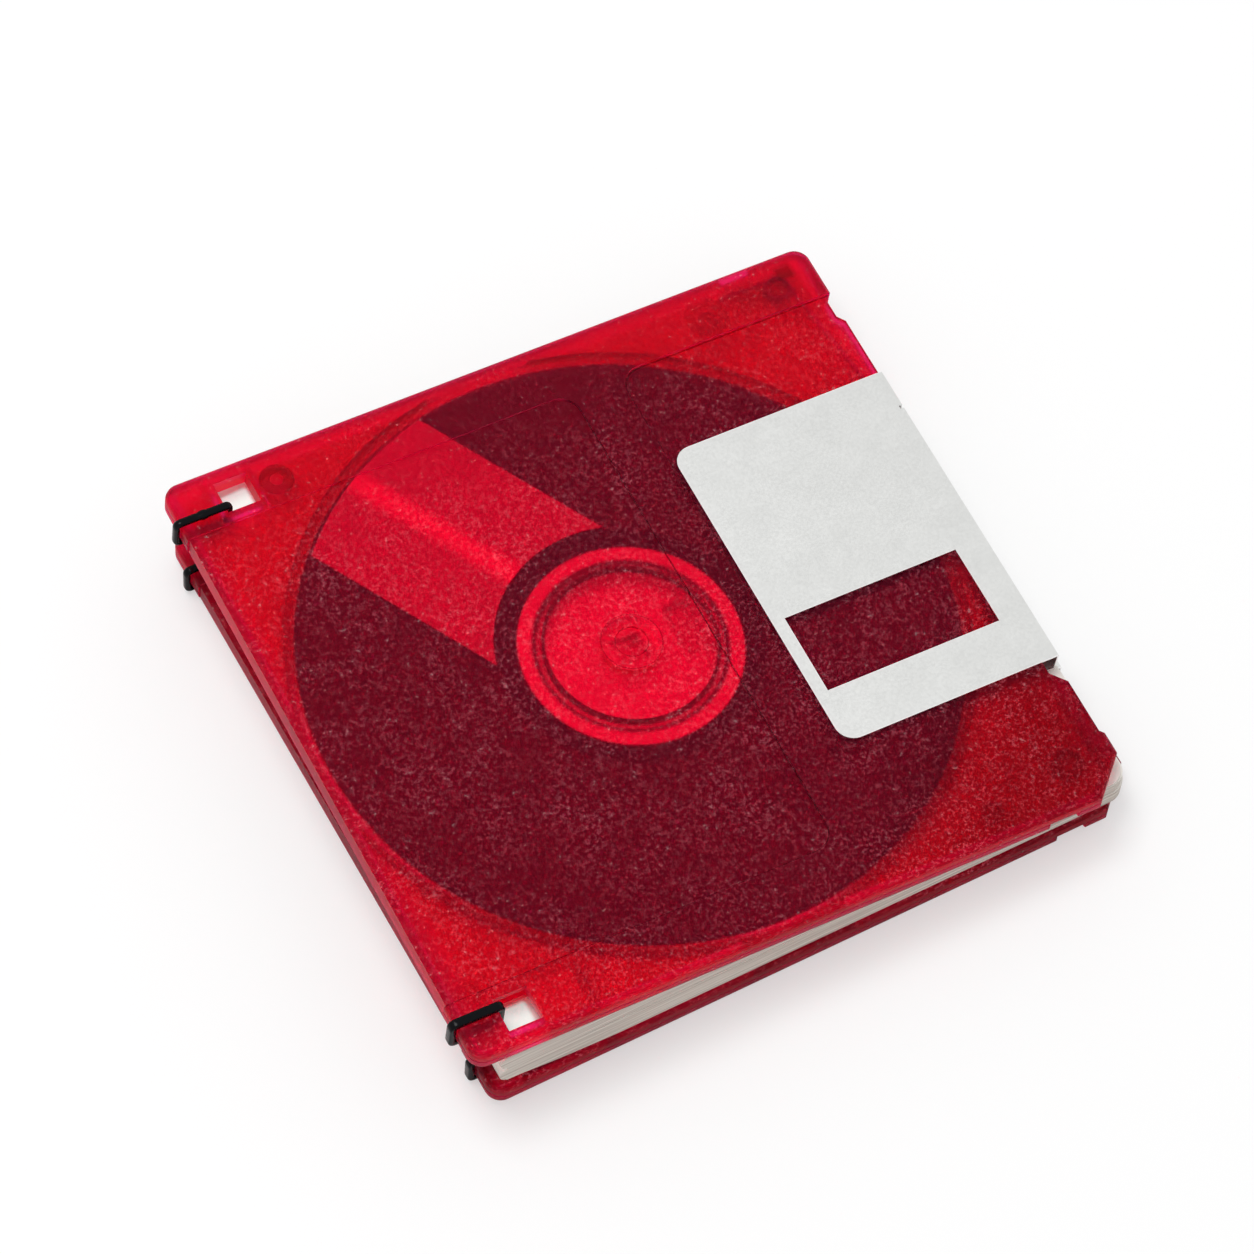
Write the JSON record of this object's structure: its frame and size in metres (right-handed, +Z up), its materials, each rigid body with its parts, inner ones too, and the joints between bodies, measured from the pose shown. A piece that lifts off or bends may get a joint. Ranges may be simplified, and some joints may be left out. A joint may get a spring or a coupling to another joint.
{
  "type": "floppy disk notebook",
  "caption": "Small notebook with translucent red floppy disks as covers, sliding metal shutters, folded pages between them and black strap loops at the spine.",
  "frame": {"origin": "middle of the whole notebook in plan, on the surface it lies on", "axes": "+Z up through the covers, +X from the strapped spine to the shutter edge, +Y from the near long edge with the cut corner to the far long edge"},
  "size_m": [0.098, 0.092, 0.0184],
  "materials": {
    "cover_plastic": "translucent raspberry red, finely frosted, with pale flecks",
    "slider_plastic": "raspberry red, finely frosted",
    "shutter_metal": "satin, pale silver",
    "hub_steel": "pressed, satin",
    "spring_steel": "drawn wire",
    "magnetic_film": "dark brown, smooth",
    "liner_felt": "thin white non-woven cloth",
    "lifter_film": "springy film leaf",
    "page_paper": "cream, uncoated, cut edges",
    "strap_black": "black, glossy, moulded strap"
  },
  "bodies": {
    "back_cover": {"back_lower_shell": "cover_plastic", "back_upper_shell": "cover_plastic", "back_shutter_spring": "spring_steel", "back_lower_liner": "liner_felt", "back_upper_liner": "liner_felt", "back_lifter": "lifter_film", "back_near_strap": "strap_black", "back_far_strap": "strap_black", "page_block": "page_paper"},
    "back_shutter": {"back_shutter": "shutter_metal"},
    "back_write_protect": {"back_write_protect_slider": "slider_plastic"},
    "back_media": {"back_magnetic_disk": "magnetic_film", "back_hub": "hub_steel"},
    "front_cover": {"front_lower_shell": "cover_plastic", "front_upper_shell": "cover_plastic", "front_shutter_spring": "spring_steel", "front_lower_liner": "liner_felt", "front_upper_liner": "liner_felt", "front_lifter": "lifter_film", "front_near_strap": "strap_black", "front_far_strap": "strap_black"},
    "front_shutter": {"front_shutter": "shutter_metal"},
    "front_write_protect": {"front_write_protect_slider": "slider_plastic"},
    "front_media": {"front_magnetic_disk": "magnetic_film", "front_hub": "hub_steel"}
  },
  "joints": [
    {"name": "cover_hinge", "type": "hinge", "parent": "back_cover", "child": "front_cover", "pos_m": [-0.04782, 0, 0.0092], "axis": [0, -1, 0], "range_deg": [0, 180]},
    {"name": "back_shutter_slide", "type": "slide", "parent": "back_cover", "child": "back_shutter", "axis": [0, 1, 0], "range_m": [0, 0.012], "stiffness_N_per_m": 30, "springref_m": -0.005, "deforming": ["back_shutter_spring"]},
    {"name": "back_write_protect_slide", "type": "slide", "parent": "back_cover", "child": "back_write_protect", "axis": [-0.9999, 0, 0.0109], "range_m": [0, 0.0036]},
    {"name": "back_disk_spin", "type": "hinge", "parent": "back_cover", "child": "back_media", "pos_m": [-0.00005, 0.00097, 0.00218], "axis": [0.0109, 0, 0.9999], "continuous": true},
    {"name": "front_shutter_slide", "type": "slide", "parent": "front_cover", "child": "front_shutter", "axis": [0.0211, 0.9998, -0.0012], "range_m": [0, 0.012], "stiffness_N_per_m": 30, "springref_m": -0.005, "deforming": ["front_shutter_spring"]},
    {"name": "front_write_protect_slide", "type": "slide", "parent": "front_cover", "child": "front_write_protect", "axis": [-0.9981, 0.0211, 0.058], "range_m": [0, 0.0036]},
    {"name": "front_disk_spin", "type": "hinge", "parent": "front_cover", "child": "front_media", "pos_m": [-0.00221, -0.00006, 0.01313], "axis": [0.058, 0, 0.9983], "continuous": true}
  ]
}
